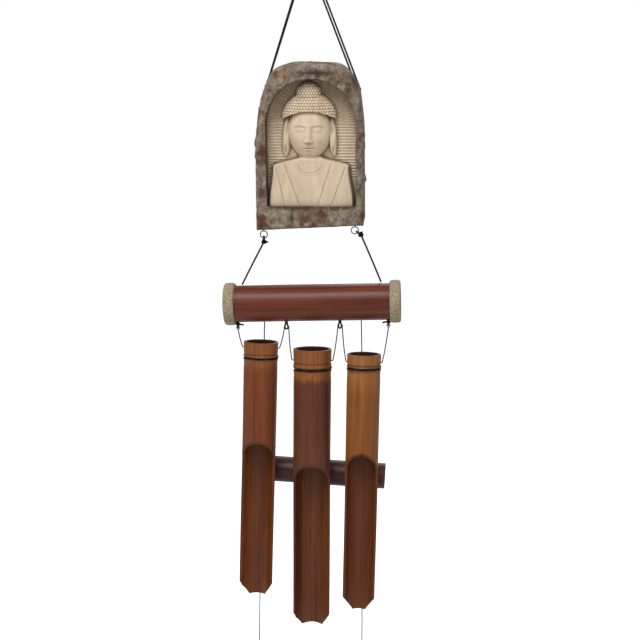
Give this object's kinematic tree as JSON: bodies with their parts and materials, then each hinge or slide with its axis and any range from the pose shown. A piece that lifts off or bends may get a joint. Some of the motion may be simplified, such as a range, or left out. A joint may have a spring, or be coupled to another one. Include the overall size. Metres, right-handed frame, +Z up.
{
  "type": "wind chime",
  "caption": "Hanging wind chime: a bark-edged log plaque with a carved bust over a bamboo bar, scooped bamboo pipes, a tubular striker behind them and a curved wind catcher below.",
  "frame": {"origin": "inside top of the hanging loop, where a hook bears", "axes": "+Z up against gravity as it hangs, front of the plaque towards -Y, +X to the right as seen from the front"},
  "size_m": [0.1774, 0.0758, 0.8059],
  "materials": {
    "black_cord": "waxed, slightly glossy",
    "clear_line": "smooth, translucent grey-green",
    "steel_wire": "dull dark metal",
    "carved_wood": "bare, sanded",
    "bark": "rough, matte",
    "stained_bamboo": "stained, satin varnish",
    "pipe_bamboo": "scorched and varnished, satin",
    "plaited_fibre": "plaited, matte"
  },
  "bodies": {
    "hanging_loop": {"hanging_loop": "black_cord"},
    "top_knot": {"hanging_knot": "black_cord"},
    "top_cords": {"top_cord_left_front": "black_cord", "top_cord_left_rear": "black_cord", "top_cord_right_inner": "black_cord", "top_cord_right_outer": "black_cord", "rear_knot_left": "black_cord", "rear_knot_right": "black_cord"},
    "plaque": {"plaque_wood": "carved_wood", "plaque_bark": "bark", "rear_eye_left": "steel_wire", "rear_eye_right": "steel_wire", "lower_eye_left": "steel_wire", "lower_eye_right": "steel_wire"},
    "bar_cords": {"bar_cord_left": "black_cord", "bar_cord_right": "black_cord", "eye_knot_left": "black_cord", "eye_knot_right": "black_cord"},
    "bar": {"bar_tube": "stained_bamboo", "band_left": "plaited_fibre", "band_right": "plaited_fibre", "bar_loop_outer_left": "black_cord", "bar_loop_inner_left": "black_cord", "bar_loop_inner_right": "black_cord", "bar_loop_outer_right": "black_cord", "line_anchor_left": "clear_line", "line_anchor_right": "clear_line"},
    "pipe_line_left": {"pipe_line_left": "clear_line"},
    "pipe_left": {"pipe_left": "pipe_bamboo"},
    "pipe_line_middle": {"pipe_line_middle": "clear_line"},
    "pipe_middle": {"pipe_middle": "pipe_bamboo"},
    "pipe_line_right": {"pipe_line_right": "clear_line"},
    "pipe_right": {"pipe_right": "pipe_bamboo"},
    "striker_knots": {"line_knot_left": "clear_line", "line_knot_right": "clear_line"},
    "striker_line_left": {"striker_line_left": "clear_line"},
    "striker_line_right": {"striker_line_right": "clear_line"},
    "striker": {"striker": "stained_bamboo", "striker_stop_left": "clear_line", "striker_stop_right": "clear_line"},
    "catcher_lines": {"catcher_line_left": "clear_line", "catcher_line_right": "clear_line", "catcher_knot_left": "clear_line", "catcher_knot_right": "clear_line"},
    "wind_catcher": {"wind_catcher": "stained_bamboo"}
  },
  "joints": [
    {"name": "side_sway", "type": "hinge", "parent": "hanging_loop", "child": "top_knot", "pos_m": [0, 0, -0.029], "axis": [0, 1, 0], "range_deg": [-15, 15]},
    {"name": "fore_sway", "type": "hinge", "parent": "top_knot", "child": "top_cords", "pos_m": [0, 0, -0.029], "axis": [1, 0, 0], "range_deg": [-12, 12]},
    {"name": "plaque_nod", "type": "hinge", "parent": "top_cords", "child": "plaque", "pos_m": [0.00425, 0, -0.1585], "axis": [0.9994, 0.005, -0.0331], "range_deg": [-8, 8]},
    {"name": "bar_cords_swing", "type": "hinge", "parent": "plaque", "child": "bar_cords", "pos_m": [0.00166, 0.00695, -0.29767], "axis": [0.9978, -0.0098, 0.0658], "range_deg": [-15, 15]},
    {"name": "bar_rock", "type": "hinge", "parent": "bar_cords", "child": "bar", "pos_m": [0.00209, 0.007, -0.347], "axis": [0.9996, 0, 0.0286], "range_deg": [-10, 10]},
    {"name": "pipe_line_swing_left", "type": "hinge", "parent": "bar", "child": "pipe_line_left", "pos_m": [-0.04737, -0.0004, -0.39061], "axis": [0.9999, 0, 0.0115], "range_deg": [-20, 0.8]},
    {"name": "pipe_nod_left", "type": "hinge", "parent": "pipe_line_left", "child": "pipe_left", "pos_m": [-0.04805, -0.0004, -0.4108], "axis": [0.9997, 0, -0.0244], "range_deg": [-15, 0.8]},
    {"name": "pipe_line_swing_middle", "type": "hinge", "parent": "bar", "child": "pipe_line_middle", "pos_m": [0.00475, -0.0004, -0.38957], "axis": [0.9995, 0, 0.0303], "range_deg": [-20, 0]},
    {"name": "pipe_nod_middle", "type": "hinge", "parent": "pipe_line_middle", "child": "pipe_middle", "pos_m": [0.00378, -0.0004, -0.423], "axis": [1, 0, -0.0017], "range_deg": [-15, 0]},
    {"name": "pipe_line_swing_right", "type": "hinge", "parent": "bar", "child": "pipe_line_right", "pos_m": [0.05654, -0.0004, -0.38768], "axis": [0.9989, 0, 0.0477], "range_deg": [-20, 0.8]},
    {"name": "pipe_nod_right", "type": "hinge", "parent": "pipe_line_right", "child": "pipe_right", "pos_m": [0.05582, -0.0004, -0.424], "axis": [0.9999, 0, -0.0157], "range_deg": [-15, 0.8]},
    {"name": "striker_fore_swing", "type": "hinge", "parent": "bar", "child": "striker_knots", "pos_m": [0.0023, 0.0224, -0.36484], "axis": [0.9996, 0, 0.0286], "range_deg": [0, 25]},
    {"name": "striker_line_swing_left", "type": "hinge", "parent": "striker_knots", "child": "striker_line_left", "pos_m": [-0.04668, 0.0224, -0.36624], "axis": [0, 0.9995, 0.0322], "range_deg": [-12.5, 12.5]},
    {"name": "striker_side_swing", "type": "hinge", "parent": "striker_line_left", "child": "striker", "pos_m": [-0.05061, 0.0277, -0.53051], "axis": [0, 0.9995, 0.0322], "range_deg": [-12, 12]},
    {"name": "striker_line_swing_right", "type": "hinge", "parent": "striker_knots", "child": "striker_line_right", "pos_m": [0.05128, 0.0224, -0.36344], "axis": [0, 0.9995, 0.0322], "range_deg": [-12.5, 12.5]},
    {"name": "catcher_lines_swing", "type": "hinge", "parent": "striker", "child": "catcher_lines", "pos_m": [0.0005, 0.0277, -0.56125], "axis": [0.9989, 0, -0.0471], "range_deg": [-4, 20]},
    {"name": "catcher_rock", "type": "hinge", "parent": "catcher_lines", "child": "wind_catcher", "pos_m": [-0.0011, 0.0277, -0.75092], "axis": [1, 0, 0], "range_deg": [-15, 15]}
  ],
  "couplings": [
    {"joint": "striker_line_swing_left", "follows": "striker_side_swing", "ratio": -1},
    {"joint": "striker_line_swing_right", "follows": "striker_side_swing", "ratio": -0.9551}
  ]
}
